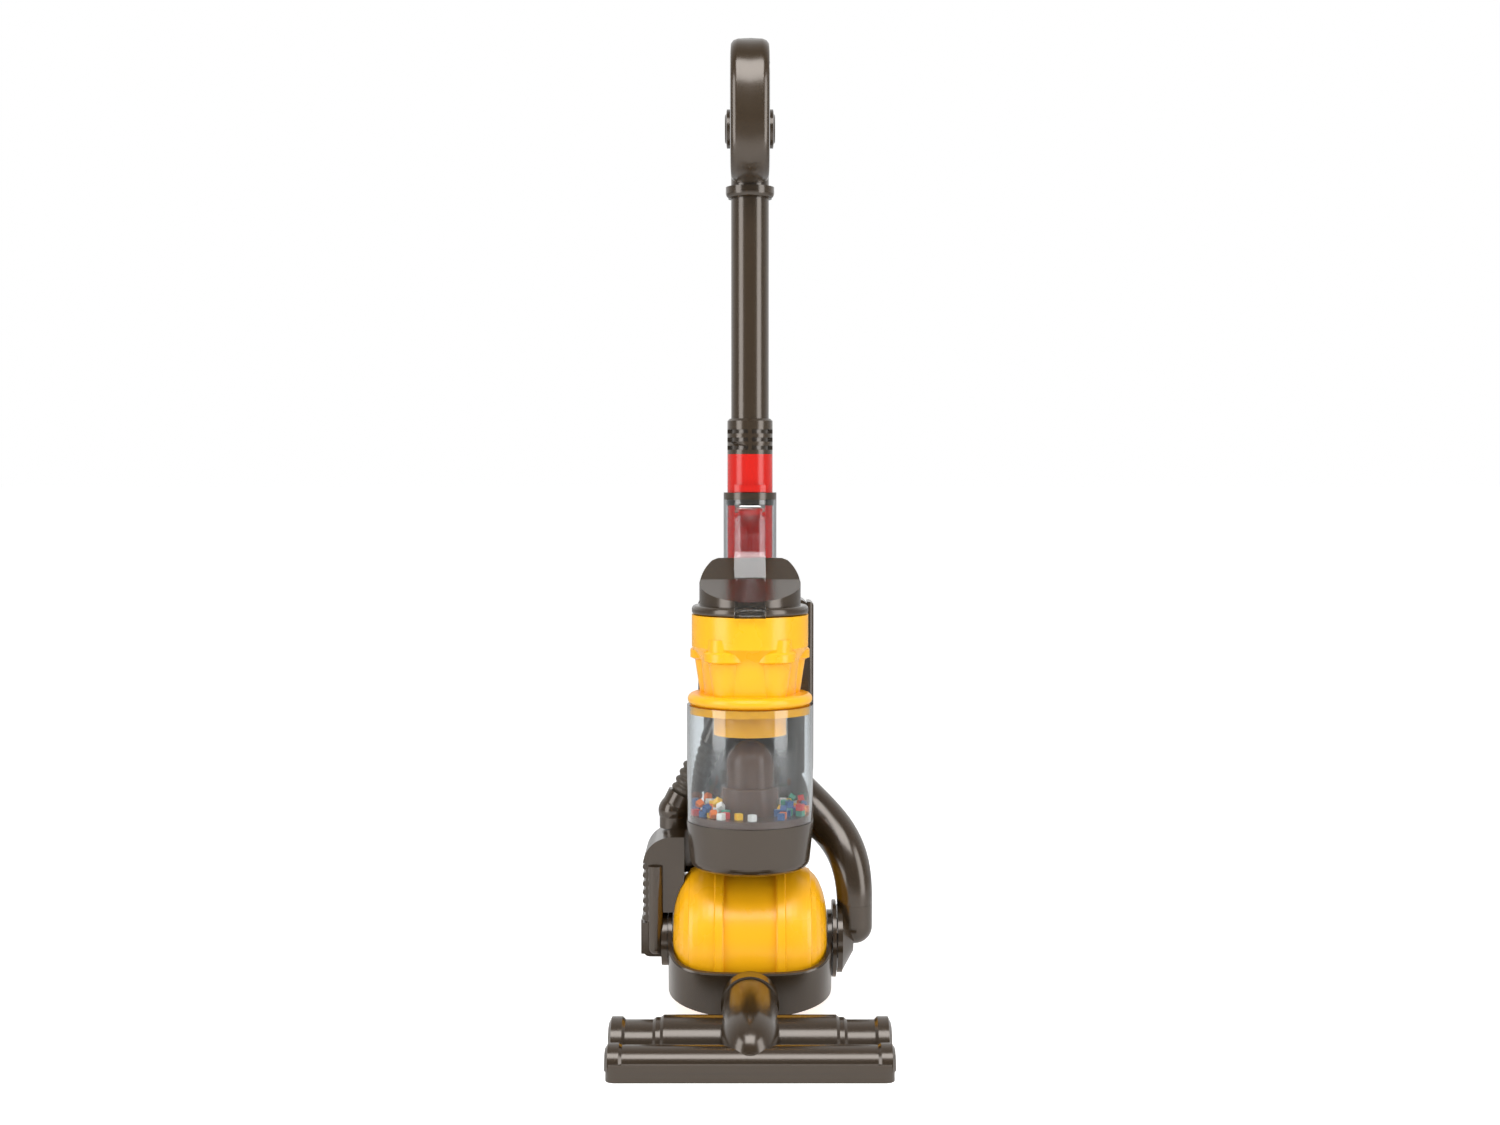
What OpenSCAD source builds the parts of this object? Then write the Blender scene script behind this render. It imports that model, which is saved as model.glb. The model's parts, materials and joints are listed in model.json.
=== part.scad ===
// Toy upright vacuum cleaner that rolls on a ball, in millimetres.
// The front faces -Y and +Z is up. The origin is the middle of the cleaner head's sole, on the floor.

/* [Layout] */
// Distance of the ball's axle behind the middle of the cleaner head
axle_y = 126; // [120:1:136]
// Distance of the bin's axis in front of the ball's axle
bin_forward = 28; // [26:1:34]
// Distance of the wand's axis behind the bin's axis
wand_back = 46; // [45:1:50]

/* [Cleaner head] */
// Width of the cleaner head
head_w = 184; // [170:1:200]
// Depth of the cleaner head
head_d = 74; // [70:1:80]
// Height of the sole tray, up to the seam
sole_h = 6.8; // [5:0.1:8]
// Height of the skirt above the floor
skirt_h = 11.7; // [10:0.1:13]
// Corner radius of the skirt, seen from above
skirt_corner_r = 7; // [4:0.5:10]
// Radius of the front half-round bar
front_bar_r = 12.4; // [11:0.1:13]
// Radius of the thick middle stretch of the rear bar
rear_bar_r = 19.4; // [18:0.1:20]
// Drop in radius from the thick to the thin stretch of the rear bar
rear_bar_step = 3; // [2:0.1:4]
// Wall of the head's cover
head_wall = 2.2; // [1.8:0.1:3]
// Width of the suction slot in the sole
slot_w = 140; // [100:1:150]
// Depth of the suction slot in the sole
slot_d = 16; // [10:0.5:18]

/* [Neck] */
// Height of the swivel axis above the floor
neck_z = 28; // [26:0.5:30]
// Largest radius of the egg-shaped elbow
elbow_r = 19.4; // [18:0.1:21]
// Length of the elbow's egg, from the collar to its tip
elbow_l = 76; // [72:1:78]
// Slope of the elbow's egg towards the floor, in degrees
elbow_slope = 11.5; // [9:0.5:13]
// Radius of the swivel spigot
spigot_r = 14.4; // [12:0.1:15]
// Wall of the yoke's neck tube
neck_wall = 2.5; // [2:0.1:3]
// Wall of the collar round the neck tube
collar_wall = 2.4; // [2:0.1:3]

/* [Ball] */
// Radius of the ball at its two ridges, and so the height of its axle
ball_r = 54; // [52:0.5:56]
// Half of the ball's width
ball_half_w = 53.5; // [52:0.5:55]
// Half of the recessed band's width
band_half_w = 18; // [15:0.5:20]
// Depth of the recessed band below the ridges
band_drop = 3; // [2:0.1:3.5]
// Wall of the ball's shells
ball_wall = 2.6; // [2.2:0.1:3]
// Radius of the steel axle
axle_r = 3; // [2.5:0.1:4]

/* [Yoke] */
// Thickness of the yoke's wall and ears
yoke_wall = 3; // [2.5:0.1:4]
// Height of the yoke's bowl above the floor, at its lowest
yoke_bottom_z = 10.5; // [9:0.5:14]
// Radius of the bowl's rounded underside, seen from the front
yoke_bowl_r = 160; // [130:1:180]
// Height of the yoke's rim above the axle, square to the rim
yoke_rim = 8.6; // [7:0.1:10]
// Forward slope of the yoke's rim, in degrees
yoke_slope = 18; // [15:1:20]
// Radius of the round ears on the axle
ear_r = 20; // [17:0.5:22]

/* [Bin] */
// Outer radius of the clear bin
bin_r = 43.4; // [42:0.1:45]
// Wall of the clear bin
bin_wall = 2; // [1.6:0.1:2.5]
// Height of the clear bin
bin_h = 80; // [74:1:90]
// Height of the grey bin base
base_h = 33; // [30:0.5:36]
// Gap between the ball and the bin base
base_over_ball = 2.5; // [2:0.1:5]
// Wall of the bin base
base_wall = 2.4; // [2:0.1:3]
// Thickness of the bin's floor disc
floor_t = 5; // [4:0.1:6]
// Radius of the inner dome
dome_r = 16.8; // [15:0.1:18]
// Height of the inner dome above the floor disc
dome_h = 50; // [46:0.5:54]
// Radius of the dome's wider skirt
dome_skirt_r = 20.3; // [19:0.1:22]
// Height of the dome's wider skirt
dome_skirt_h = 18.5; // [15:0.5:22]
// Edge length of a bead
bead = 4.5; // [3.5:0.1:5]

/* [Cyclone] */
// Height of the rounded lid rim above the bin
lid_h = 8; // [7:0.1:9]
// Radius of the collar that hangs into the bin
shroud_r = 25; // [23:0.5:27]
// Length of the collar that hangs into the bin
shroud_l = 20.5; // [16:0.5:24]
// Radius of the cyclone's top
cyclone_r = 40; // [38:0.1:41]
// Radius of the cyclone where it meets the lid
cyclone_foot_r = 31.5; // [30.5:0.1:32.5]
// Height of the cyclone
cyclone_h = 54; // [50:0.5:60]
// Wall of the cyclone and the lid
cyclone_wall = 3; // [2.4:0.1:4]
// Number of cyclone cups
cup_count = 5; // [4:1:5]
// Radius of a cup's rim
cup_rim_r = 15.6; // [14.6:0.1:15.7]
// Height of a cup's rim band
cup_rim_h = 8.6; // [7:0.1:10]
// Thickness of the flange ring
flange_t = 6.4; // [5:0.1:8]
// Radius of the scooped cap
cap_r = 34.8; // [33:0.1:36]
// Height of the scooped cap at its rear
cap_h = 31; // [28:0.5:34]

/* [Carry handle] */
// Width of the clear carry handle
strap_w = 21; // [18:0.5:24]
// Thickness of the carry handle's web
strap_t = 3; // [2.4:0.1:4]
// Depth of the carry handle's side flanges
strap_flange = 8; // [6:0.5:10]
// Thickness of the carry handle's side flanges
strap_rib = 2.2; // [1.8:0.1:3]

/* [Wand] */
// Outer radius of the clear sleeve
sleeve_r = 18.7; // [18.3:0.1:19.5]
// Height of the clear sleeve
sleeve_h = 68; // [60:0.5:74]
// Thickness of the grey ring on the sleeve
ring_t = 5; // [4:0.1:6]
// Outer radius of the red coupling and the slotted collar
coupling_r = 16; // [15:0.1:16.4]
// Height of the red coupling above the grey ring
coupling_h = 27; // [24:0.5:30]
// Height of the slotted collar
slotted_h = 25; // [22:0.5:28]
// Outer radius of the wand tube
wand_r = 13.3; // [12.5:0.1:13.6]
// Visible length of the wand tube
wand_l = 158; // [130:1:180]
// Wall of the wand's tubes
wand_wall = 1.8; // [1.5:0.1:2.2]
// Travel of the release catch
catch_travel = 1; // [0.6:0.1:1.2]

/* [Handle] */
// Height of the handle loop
loop_h = 97; // [90:1:104]
// Depth of the handle loop from front to back
loop_d = 74; // [68:1:80]
// Half of the handle's width
grip_half_w = 13.5; // [12:0.1:15]
// Thickness of the handle's limbs, seen from the side
grip_t = 19; // [16:0.5:21]
// Radius of the round side discs
disc_r = 13.5; // [11:0.5:15]
// Total width across the round side discs
disc_w = 35; // [32:0.5:38]

/* [Spine] */
// Left side of the spine, beside the hose
spine_left = 20; // [18:0.5:22]
// Right side of the spine
spine_right = 41; // [38:0.5:43]
// Depth of the spine from front to back
spine_d = 36; // [34:0.5:40]
// Wall of the spine's shells
spine_wall = 2.4; // [2:0.1:3]
// Corner radius of the spine's back, seen from above
spine_corner_r = 12; // [8:0.5:14]
// Travel of the power switch
switch_travel = 5; // [3:0.5:6]

/* [Side arms] */
// Outermost side of the filter housing
arm_out = 75; // [74:0.5:80]
// Thickness of the filter housing
arm_t = 14; // [12:0.5:15]
// Top of the filter housing above the axle
arm_top = 74; // [70:0.5:78]
// Bottom of the filter housing below the axle
arm_drop = 10; // [6:0.5:14]
// Depth of the filter housing
arm_d = 54; // [50:1:60]
// Outer radius of the hose at its ribs
hose_r = 10; // [9:0.1:10.5]
// Depth of the hose's ribs
hose_rib = 1.6; // [1:0.1:2]
// Number of ribs on the hose
hose_ribs = 7; // [6:1:10]
// Radius of the side duct where it leaves the spine
duct_r = 17; // [15:0.1:17.5]
// Radius of the side duct at its lower end
duct_end_r = 12.4; // [11:0.1:13]

/* [Hidden] */
$fn = 64;

// Shared clearances: a running fit, a seat within one body, and the gap between moving bodies
run_gap = 0.06;
seat_gap = 0.05;
body_gap = 0.4;
overrun = 1;

// Places that several pieces share
axle_z = ball_r;
bin_y = axle_y - bin_forward;
wand_y = bin_y + wand_back;
base_z = axle_z + ball_r + base_over_ball;
floor_z = base_z + base_h;
lid_z = floor_z + bin_h;
cyclone_z = lid_z + lid_h;
flange_z = cyclone_z + cyclone_h;
cap_z = flange_z + flange_t;
ear_x = ball_half_w + body_gap + body_gap;
hub_x = ear_x + yoke_wall + body_gap;
socket_z = cap_z + body_gap;
socket_wall = 2.5;
socket_h = 16;
socket_floor = 3;
sleeve_wall = 2;
sleeve_z = socket_z + socket_floor;
ring_z = sleeve_z + sleeve_h;
coupling_z = ring_z + ring_t;
slotted_z = coupling_z + coupling_h;
tube_z = slotted_z + slotted_h;
handle_z = tube_z + wand_l;
base_lip = 0.5;
base_lip_r = bin_r + base_lip;
spine_front_y = bin_y + base_lip_r + seat_gap;
spine_back_y = spine_front_y + spine_d;
spine_back_depth = 20;
spine_split_y = spine_back_y - spine_back_depth;
spine_mid_x = (spine_right - spine_left) / 2;

// Colours of the mouldings
grey = [0.36, 0.33, 0.28];
dark = [0.2, 0.18, 0.16];
yellow = [0.99, 0.72, 0.07];
red = [0.88, 0.14, 0.08];
clear = [0.85, 0.9, 0.92, 0.35];
steel = [0.7, 0.71, 0.72];

// Shared shapes
function mirrored(points) = concat(
    [for (i = [len(points) - 1:-1:0]) [points[i][0], -points[i][1]]],
    points
);
function arc_points(centre, r, from, to, steps) = [
    for (i = [0:steps]) let (a = from + (to - from) * i / steps) centre + r * [cos(a), sin(a)]
];
function signed_pow(v, p) = sign(v) * pow(abs(v), p);
// Outline of a rounded box: half sizes a and b, squarer as the power grows
function squircle(a, b, power, steps) = [
    for (i = [0:steps - 1])
        [a * signed_pow(cos(360 * i / steps), 2 / power), b * signed_pow(sin(360 * i / steps), 2 / power)]
];

module at_axle() { translate([0, axle_y, axle_z]) children(); }
module at_bin(z) { translate([0, bin_y, z]) children(); }
module at_wand(z) { translate([0, wand_y, z]) children(); }
module along_x() { rotate([0, 90, 0]) children(); }
module along_y() { rotate([-90, 0, 0]) children(); }
module pipe(h, r, wall) {
    difference() {
        cylinder(h = h, r = r);
        translate([0, 0, -overrun]) cylinder(h = h + 2 * overrun, r = r - wall);
    }
}
module round_rect(w, d, r) {
    square([w - 2 * r, d], center = true);
    square([w, d - 2 * r], center = true);
    for (x = [-1, 1], y = [-1, 1])
        translate([x * (w / 2 - r), y * (d / 2 - r)]) circle(r = r);
}
module screw(head_r, head_h, shank_r, shank_l) {
    cylinder(h = head_h, r = head_r);
    translate([0, 0, -shank_l]) cylinder(h = shank_l, r = shank_r);
}

// Cleaner head: bars are turned profiles of radius and place along X
bar_bead = 9;
bar_bead_rise = 2;
bar_end_round = 2;
bar_step_l = 5;
thick_half_share = 0.61;
head_half = head_w / 2;
bar_set = 2.4;
front_bar_y = front_bar_r + bar_set - head_d / 2;
front_bar_z = 8;
rear_bar_y = 14;
rear_bar_z = 10;
thin_r = rear_bar_r - rear_bar_step;
thick_half = head_half * thick_half_share;
front_bead_rise = 1.2;
sole_set = 0.6;
slot_y = -21;
screw_head_r = 2.6;
screw_head_h = 1.6;
screw_r = 1.3;
screw_l = 6;
screw_x_share = 0.85;
screw_y_share = 0.72;
boss_r = 3.6;

module head_bar(profile) {
    end = profile[len(profile) - 1][1];
    along_x() rotate_extrude() polygon(concat([[0, -end]], mirrored(profile), [[0, end]]));
}
module front_bar(inset) {
    r = front_bar_r - inset;
    end = head_half - inset;
    translate([0, front_bar_y, front_bar_z]) head_bar([
        [r, end - bar_bead - bar_end_round],
        [r + front_bead_rise, end - bar_bead],
        [r + front_bead_rise, end - bar_end_round],
        [r - bar_end_round, end]
    ]);
}
module rear_bar(inset) {
    thick = rear_bar_r - inset;
    thin = thin_r - inset;
    end = head_half - inset;
    translate([0, rear_bar_y, rear_bar_z]) head_bar([
        [thick, thick_half],
        [thick - rear_bar_step / 2, thick_half + bar_end_round],
        [thick - rear_bar_step / 2, thick_half + bar_step_l],
        [thin, thick_half + bar_step_l + bar_end_round],
        [thin, end - bar_bead - bar_end_round],
        [thin + bar_bead_rise, end - bar_bead],
        [thin + bar_bead_rise, end - bar_end_round],
        [thin - bar_end_round, end]
    ]);
}
module head_outline(inset) {
    round_rect(head_w - 2 * inset, head_d - 2 * inset, skirt_corner_r - inset / 2);
}
module screw_places() {
    for (x = [-1, 1], y = [-1, 1])
        translate([x * head_half * screw_x_share, y * head_d / 2 * screw_y_share, 0]) children();
}
module below(z) {
    translate([-head_w, -head_w, z - head_w]) cube([2 * head_w, 2 * head_w, head_w]);
}
// The head's outside, shrunk by the inset
module head_solid(inset) {
    linear_extrude(skirt_h - inset) head_outline(inset);
    front_bar(inset);
    rear_bar(inset);
}
module head_cover() {
    color(grey) difference() {
        union() {
            difference() {
                head_solid(0);
                head_solid(head_wall);
            }
            intersection() {
                head_solid(0);
                screw_places() translate([0, 0, sole_h]) cylinder(h = rear_bar_z + rear_bar_r, r = boss_r);
            }
        }
        below(sole_h);
        elbow_way();
        screw_places() translate([0, 0, sole_h - overrun]) cylinder(h = screw_l, r = screw_r + seat_gap);
    }
}
module head_sole() {
    color(grey) difference() {
        linear_extrude(sole_h) head_outline(sole_set);
        difference() {
            translate([0, 0, head_wall]) linear_extrude(sole_h) head_outline(head_wall);
            screw_places() cylinder(h = sole_h, r = boss_r);
        }
        translate([0, slot_y, -overrun])
            linear_extrude(sole_h) round_rect(slot_w, slot_d, slot_d / 2 - head_wall);
        screw_places() {
            translate([0, 0, -overrun]) cylinder(h = sole_h + 2 * overrun, r = screw_r + seat_gap);
            translate([0, 0, -overrun])
                cylinder(h = overrun + screw_head_h + head_wall, r = screw_head_r + seat_gap);
        }
    }
}
module head_screws() {
    color(steel) screw_places() translate([0, 0, screw_head_h + head_wall]) rotate([180, 0, 0])
        screw(screw_head_r, screw_head_h, screw_r, screw_l);
}

// Neck: the elbow's egg is turned about a sloping axis that starts at the collar
neck_y = 43;
egg_bulge_share = 0.6;
egg_start_share = 0.92;
egg_steps = 14;
egg_back = 5;
spigot_l = 22;
elbow_bore_r = 11;
collar_l = 13;
// The egg swells to its bulge, and then closes as a quarter of an ellipse
module egg() {
    bulge_l = elbow_l * egg_bulge_share;
    swell = [for (i = [0:egg_steps - 1]) let (t = i / egg_steps)
        [elbow_r * (1 - (1 - egg_start_share) * pow(1 - t, 2)), t * bulge_l]];
    tip = [for (i = [0:egg_steps - 1]) let (a = 90 * i / egg_steps)
        [elbow_r * cos(a), bulge_l + (elbow_l - bulge_l) * sin(a)]];
    translate([0, neck_y, neck_z]) rotate([90 + elbow_slope, 0, 0]) rotate_extrude()
        polygon(concat(
            [[0, -egg_back], [elbow_r * egg_start_share, -egg_back]],
            swell,
            tip,
            [[0, elbow_l]]
        ));
}
// The air's way: back along the neck, and down into the rear bar
module elbow_way() {
    translate([0, rear_bar_y, neck_z]) along_y() cylinder(h = neck_y + spigot_l, r = elbow_bore_r);
    translate([0, rear_bar_y, 0]) cylinder(h = neck_z, r = elbow_bore_r);
}
module elbow() {
    color(grey) difference() {
        union() {
            difference() {
                egg();
                translate([-head_w, neck_y, 0]) cube(2 * head_w);
                head_solid(-seat_gap);
                below(sole_h);
            }
            translate([0, neck_y - overrun, neck_z]) along_y()
                cylinder(h = overrun + spigot_l, r = spigot_r);
        }
        elbow_way();
    }
}
module neck_collar() {
    r = spigot_r + run_gap + neck_wall + seat_gap;
    color(grey) translate([0, neck_y + body_gap, neck_z]) along_y()
        pipe(collar_l, r + collar_wall, collar_wall);
}

// Yoke: a rounded-square bowl round the front of the ball, with ears on the axle
yoke_power = 3.8;
yoke_steps = 80;
yoke_ball_gap = 4.5;
yoke_bevel = 1;
yoke_bevel_share = 0.985;
yoke_front = ball_r + yoke_ball_gap;
module yoke_outline(inset) {
    polygon(squircle(ear_x + yoke_wall - inset, yoke_front + yoke_wall - inset, yoke_power, yoke_steps));
}
module yoke_band() {
    depth = axle_z;
    at_axle() rotate([yoke_slope, 0, 0]) difference() {
        translate([0, 0, -depth]) {
            linear_extrude(depth + yoke_rim - yoke_bevel) yoke_outline(0);
            translate([0, 0, depth + yoke_rim - yoke_bevel])
                linear_extrude(yoke_bevel, scale = yoke_bevel_share) yoke_outline(0);
        }
        translate([0, 0, -depth - overrun]) linear_extrude(2 * depth) yoke_outline(yoke_wall);
        translate([-head_w, 0, -head_w]) cube(2 * head_w);
    }
}
module yoke() {
    tube_r = spigot_r + run_gap + neck_wall;
    tube_y = neck_y + 2 * body_gap;
    tube_end_y = axle_y - sqrt(pow(yoke_front, 2) - pow(axle_z - neck_z, 2));
    color(grey) difference() {
        union() {
            intersection() {
                yoke_band();
                translate([0, 0, yoke_bottom_z + yoke_bowl_r]) along_y()
                    cylinder(h = 2 * head_w, r = yoke_bowl_r);
            }
            for (side = [-1, 1])
                translate([side * (ear_x + yoke_wall / 2), axle_y, axle_z]) along_x()
                    cylinder(h = yoke_wall, r = ear_r, center = true);
            difference() {
                translate([0, tube_y, neck_z]) along_y() cylinder(h = tube_end_y - tube_y, r = tube_r);
                at_axle() along_x() cylinder(h = 2 * (tube_r + overrun), r = yoke_front, center = true);
            }
        }
        translate([0, tube_y - overrun, neck_z]) along_y()
            cylinder(h = neck_y + spigot_l + body_gap - tube_y + overrun, r = spigot_r + run_gap);
        at_axle() along_x() cylinder(h = 3 * ball_half_w, r = axle_r + seat_gap, center = true);
    }
}
axle_end = 6;
module axle() {
    color(steel) at_axle() along_x() cylinder(h = 2 * (hub_x + axle_end), r = axle_r, center = true);
}

// Ball: turned half shells and a recessed band; shares are of the shell's width and of the ridge radius
ball_shares = [
    [0, 0.985], [0.03, 1], [0.165, 1], [0.19, 0.975], [0.3, 0.967], [0.4, 0.955], [0.5, 0.94],
    [0.6, 0.92], [0.67, 0.9], [0.69, 0.875], [0.78, 0.82], [0.86, 0.74], [0.93, 0.63], [0.97, 0.54],
    [1, 0.42]
];
ball_hub_r = 9;
ball_hub_l = 16;
tongue_l = 4;
function ball_profile(wall) = [
    for (s = ball_shares) [
        s[1] * ball_r - wall,
        min(band_half_w + s[0] * (ball_half_w - band_half_w), ball_half_w - wall)
    ]
];
module ball_half() {
    end = ball_half_w;
    at_axle() along_x() difference() {
        union() {
            difference() {
                rotate_extrude() polygon(concat([[0, band_half_w]], ball_profile(0), [[0, end]]));
                translate([0, 0, band_half_w - overrun])
                    cylinder(h = 2 * overrun, r = ball_profile(ball_wall)[0][0]);
                rotate_extrude()
                    polygon(concat([[0, band_half_w]], ball_profile(ball_wall), [[0, end - ball_wall]]));
            }
            translate([0, 0, end - ball_hub_l]) cylinder(h = ball_hub_l, r = ball_hub_r);
        }
        cylinder(h = end + overrun, r = axle_r + run_gap);
    }
}
module ball_right() { color(yellow) ball_half(); }
module ball_left() { color(yellow) mirror([1, 0, 0]) ball_half(); }
module ball_band() {
    r = ball_r - band_drop;
    tongue_r = ball_profile(ball_wall)[0][0] - seat_gap;
    color(yellow) at_axle() along_x() difference() {
        union() {
            cylinder(h = 2 * band_half_w, r = r, center = true);
            cylinder(h = 2 * (band_half_w + tongue_l), r = min(tongue_r, r), center = true);
        }
        cylinder(h = 4 * band_half_w, r = min(tongue_r, r) - ball_wall, center = true);
    }
}

// Bin base: a turned cup with a rounded foot
base_foot_share = 0.955;
base_round = 7;
module bin_base() {
    foot = bin_r * base_foot_share;
    outer = concat(
        arc_points([foot - base_round, base_round], base_round, -90, 0, 8),
        [[base_lip_r, base_h]]
    );
    inner_r = foot - base_wall;
    color(grey) at_bin(base_z) difference() {
        rotate_extrude() polygon(concat([[0, 0]], outer, [[0, base_h]]));
        translate([0, 0, base_wall]) cylinder(h = base_h, r = inner_r);
    }
}
module bin_floor() {
    hole_r = shaft_r + body_gap;
    color(dark) at_bin(floor_z) difference() {
        cylinder(h = floor_t, r = bin_r - bin_wall - seat_gap);
        translate([0, 0, -overrun]) cylinder(h = floor_t + 2 * overrun, r = hole_r);
    }
}
dome_wall = 2;
dome_round = 1.5;
module dome_skirt() {
    color(dark) at_bin(floor_z + floor_t) difference() {
        rotate_extrude() polygon(concat(
            [[0, 0], [dome_skirt_r, 0]],
            arc_points([dome_skirt_r - dome_round, dome_skirt_h - dome_round], dome_round, 0, 90, 6),
            [[0, dome_skirt_h]]
        ));
        translate([0, 0, -overrun]) cylinder(h = dome_skirt_h + 2 * overrun, r = dome_r + seat_gap);
    }
}
module inner_dome() {
    wall_h = dome_h - dome_r;
    color(dark) at_bin(floor_z + floor_t) difference() {
        union() {
            cylinder(h = wall_h, r = dome_r);
            translate([0, 0, wall_h]) sphere(r = dome_r);
        }
        translate([0, 0, -dome_r]) cylinder(h = wall_h + dome_r, r = dome_r - dome_wall);
        translate([0, 0, wall_h]) sphere(r = dome_r - dome_wall);
        translate([0, 0, -2 * dome_r]) cylinder(h = 2 * dome_r, r = 2 * dome_r);
    }
}
module clear_bin() {
    color(clear) at_bin(floor_z) pipe(bin_h, bin_r, bin_wall);
}

// Beads: columns on rings round the dome's skirt, piled high to the left and to the right
bead_pitch_share = 1.45;
bead_layers = 3;
bead_rings = 3;
bead_seed = 7;
bead_colours = 6;
bead_pitch = bead * bead_pitch_share;
bead_first_r = dome_skirt_r + bead_pitch / 2;
pile_edge_share = 0.45;
pile_fill_share = 0.6;
bead_slots = [
    for (ring = [0:bead_rings - 1])
        let (r = bead_first_r + ring * bead_pitch, count = floor(2 * PI * r / bead_pitch))
            for (i = [0:count - 1]) [r, 360 * i / count]
];
bead_draws = rands(0, 1, 2 * bead_layers * len(bead_slots), bead_seed);
// Number of beads in the column at an angle, with a draw from 0 to 1 that roughens the pile
function pile_height(angle,
    draw) = let (share = (abs(cos(angle)) - pile_edge_share) / (1 - pile_edge_share))
    share < 0 ? 0 : min(bead_layers, floor(bead_layers * share * pile_fill_share + draw));
module beads(colour) {
    for (i = [0:len(bead_slots) - 1]) {
        slot = bead_slots[i];
        first = 2 * bead_layers * i;
        height = pile_height(slot[1], bead_draws[first]);
        if (height > 0)
            for (layer = [0:height - 1])
                if (floor(bead_draws[first + bead_layers + layer] * bead_colours) == colour)
                    at_bin(floor_z + floor_t + seat_gap + layer * (bead + seat_gap))
                        rotate([0, 0, slot[1]]) translate([slot[0], 0, bead / 2])
                            rotate([0, 0, 90 * bead_draws[first + layer]]) cube(bead, center = true);
    }
}
module beads_yellow() { color(yellow) beads(0); }
module beads_red() { color(red) beads(1); }
module beads_white() { color("white") beads(2); }
module beads_blue() { color("navy") beads(3); }
module beads_green() { color("seagreen") beads(4); }
module beads_orange() { color("orange") beads(5); }

// Motor under the dome, with a fan below it in the base
motor_r = 12;
motor_h = 30;
shaft_r = 1;
shaft_l = 14;
fan_r = 30;
fan_t = 1.2;
blade_h = 9;
blade_t = 1.2;
blade_count = 8;
fan_hub_r = 5;
motor_z = floor_z + floor_t + seat_gap;
module motor() {
    color(steel) at_bin(motor_z) difference() {
        cylinder(h = motor_h, r = motor_r);
        translate([0, 0, -overrun]) cylinder(h = shaft_l, r = shaft_r + run_gap);
    }
}
module impeller() {
    drop = floor_t + body_gap + blade_h;
    color(dark) at_bin(motor_z - drop) {
        cylinder(h = fan_t, r = fan_r);
        cylinder(h = blade_h, r = fan_hub_r);
        cylinder(h = drop + shaft_l - 2 * overrun, r = shaft_r);
        for (i = [0:blade_count - 1])
            rotate([0, 0, 360 * i / blade_count])
                translate([fan_hub_r - blade_t, -blade_t / 2, 0])
                    cube([fan_r - fan_hub_r, blade_t, blade_h]);
    }
}

// Lid: a plug inside the bin, a rounded rim on it, and a collar that hangs into the bin
plug_h = 5.5;
lid_set = 0.5;
lid_rim_r = bin_r - lid_set;
module bin_lid() {
    plug_r = bin_r - bin_wall - seat_gap;
    half = lid_h / 2;
    color(yellow) at_bin(lid_z) difference() {
        union() {
            rotate_extrude() polygon(concat(
                [[0, -plug_h], [plug_r, -plug_h], [plug_r, 0]],
                arc_points([lid_rim_r - half, half], half, -90, 90, 12),
                [[0, lid_h]]
            ));
            translate([0, 0, -shroud_l]) cylinder(h = shroud_l, r = shroud_r);
        }
        translate([0, 0, -shroud_l - overrun])
            cylinder(h = shroud_l + lid_h + 2 * overrun, r = shroud_r - cyclone_wall);
    }
}

// Cyclone: a turned body with a ring of tapered cups
cup_rim_top_share = 0.57;
cup_centre_share = 0.675;
cup_foot_share = 0.58;
cup_rim_round = 1.6;
cup_neck_share = 0.66;
cup_neck_rise = 1.5;
cup_neck_h = 8;
waist_share = 0.42;
waist_r_share = 0.84;
flare_share = 0.6;
module cup() {
    rim_top = cyclone_h * cup_rim_top_share;
    body_h = rim_top - cup_rim_h;
    rotate_extrude() polygon([
        [0, 0],
        [cup_rim_r * cup_foot_share, 0],
        [cup_rim_r - cup_rim_round * 2, body_h],
        [cup_rim_r, body_h + cup_rim_round],
        [cup_rim_r, rim_top - cup_rim_round],
        [cup_rim_r - cup_rim_round, rim_top],
        [0, rim_top]
    ]);
}
module cup_neck() {
    r = cup_rim_r * cup_neck_share;
    rim_top = cyclone_h * cup_rim_top_share;
    translate([cyclone_r + cup_neck_rise - r, 0, rim_top - overrun])
        cylinder(h = cup_neck_h + overrun, r = r);
}
module cyclone() {
    color(yellow) at_bin(cyclone_z) difference() {
        union() {
            rotate_extrude() polygon([
                [0, 0],
                [cyclone_foot_r, 0],
                [cyclone_r * waist_r_share, cyclone_h * waist_share],
                [cyclone_r, cyclone_h * flare_share],
                [cyclone_r, cyclone_h],
                [0, cyclone_h]
            ]);
            for (i = [0:cup_count - 1])
                rotate([0, 0, -90 + 360 * (i + 0.5) / cup_count]) {
                    translate([cyclone_r * cup_centre_share, 0, 0]) cup();
                    cup_neck();
                }
        }
        translate([0, 0, -overrun])
            cylinder(h = cyclone_h - cyclone_wall + overrun, r = shroud_r - cyclone_wall);
    }
}
flange_round = 2.4;
module flange_ring() {
    color(grey) at_bin(flange_z) rotate_extrude() polygon(concat(
        [[0, 0]],
        arc_points([cyclone_r - flange_round, flange_round], flange_round, -90, 0, 6),
        arc_points([cyclone_r - flange_round, flange_t - flange_round], flange_round, 0, 90, 6),
        [[0, flange_t]]
    ));
}

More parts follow.
